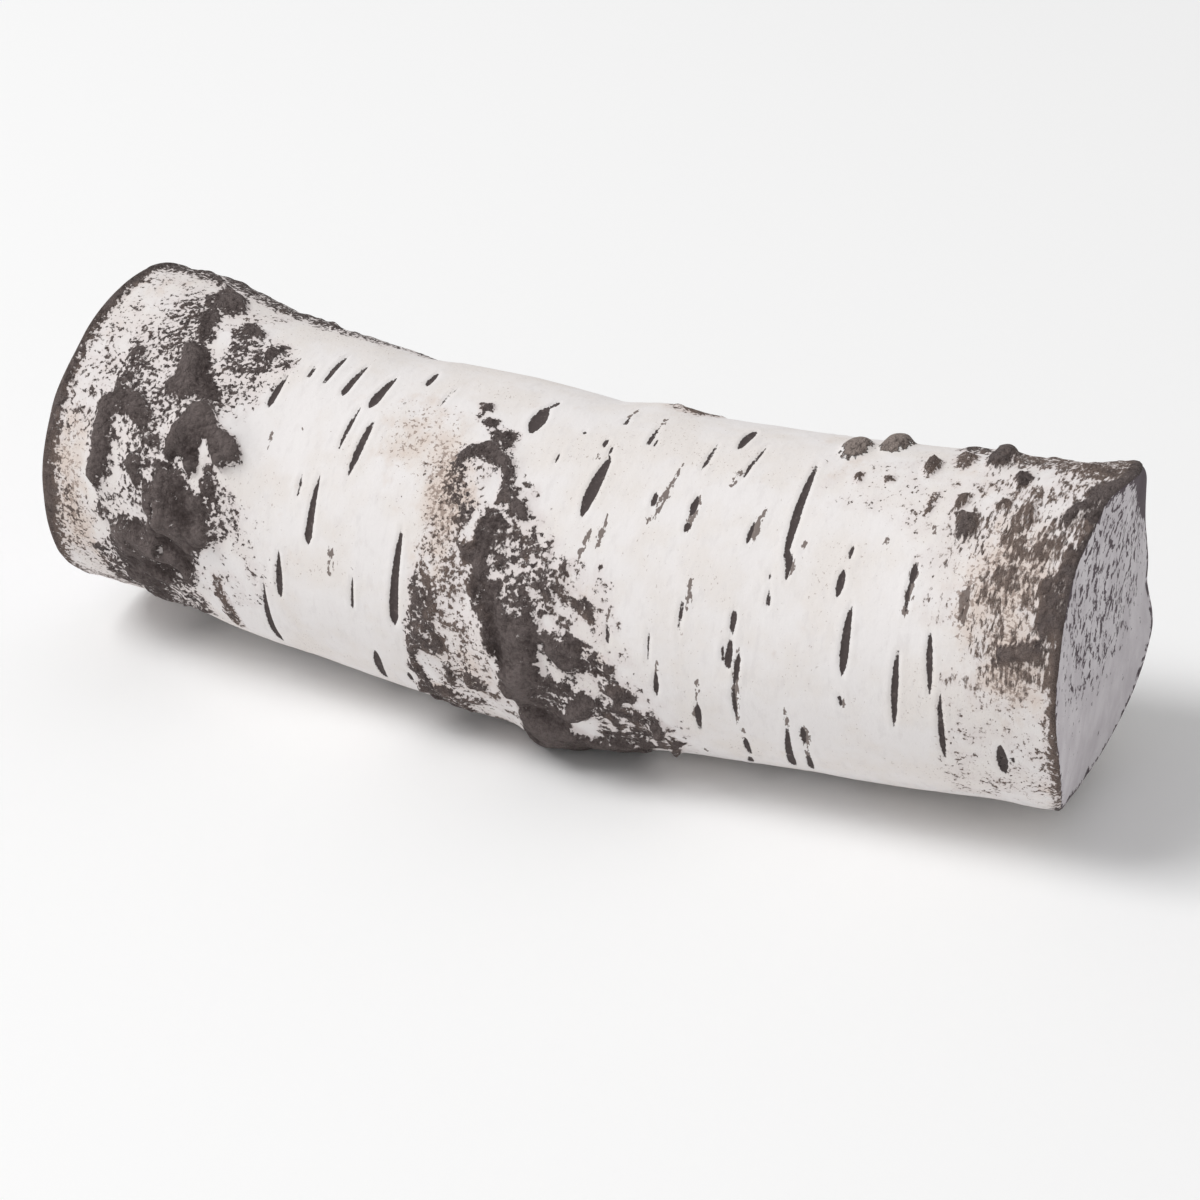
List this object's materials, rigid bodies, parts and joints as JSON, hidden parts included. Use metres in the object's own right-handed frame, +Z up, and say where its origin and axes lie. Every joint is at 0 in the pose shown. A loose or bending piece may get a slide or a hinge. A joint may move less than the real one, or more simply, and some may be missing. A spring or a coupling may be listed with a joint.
{
  "type": "wood log",
  "caption": "Short round birch log, slightly bent, sawn off at both ends and lying on its side: white bark with dark rough patches, short cross slits and small knots.",
  "frame": {"origin": "the middle of the log's footprint, on the surface that it lies on", "axes": "+X along the log, +Y towards its back, +Z up"},
  "size_m": [0.2574, 0.0908, 0.0854],
  "materials": {
    "bark": "matt white birch bark with rough charcoal-brown crust, and pale grey speckled saw cuts"
  },
  "bodies": {
    "root": {"log": "bark"}
  },
  "joints": []
}
